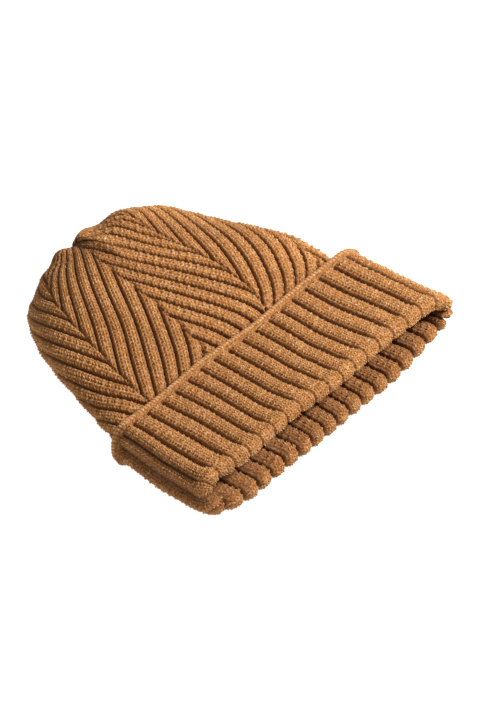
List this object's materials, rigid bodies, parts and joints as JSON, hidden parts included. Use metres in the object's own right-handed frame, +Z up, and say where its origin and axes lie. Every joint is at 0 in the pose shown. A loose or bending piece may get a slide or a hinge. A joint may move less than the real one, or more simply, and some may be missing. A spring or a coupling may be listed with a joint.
{
  "type": "cuffed knit beanie",
  "caption": "Cuffed rib-knit wool beanie lying flat, with a herringbone-knit crown gathered at its end and a wide turned-up cuff.",
  "frame": {"origin": "on the surface that the hat lies on, under the middle of its bounding box", "axes": "+Z up; +X from the gathered crown to the open mouth; +Y across the cuff, away from the seamed side"},
  "size_m": [0.2002, 0.22, 0.0542],
  "materials": {
    "wool_knit": "camel melange wool knit, matt and slightly fuzzy",
    "seam_yarn": "camel wool yarn, matt",
    "label_cloth": "plain woven satin tape, blank",
    "label_thread": "plain sewing thread"
  },
  "bodies": {
    "root": {"crown_upper": "wool_knit", "crown_lower": "wool_knit", "crown_end": "wool_knit", "inner_band": "wool_knit", "lip_fold": "wool_knit", "turned_cuff": "wool_knit", "cuff_rim": "wool_knit", "linking_seam": "seam_yarn", "crown_seam": "seam_yarn", "band_seam": "seam_yarn", "cuff_seam": "seam_yarn", "gather_yarn": "seam_yarn", "gather_knot": "seam_yarn", "care_label": "label_cloth", "label_stitches": "label_thread"}
  },
  "joints": []
}
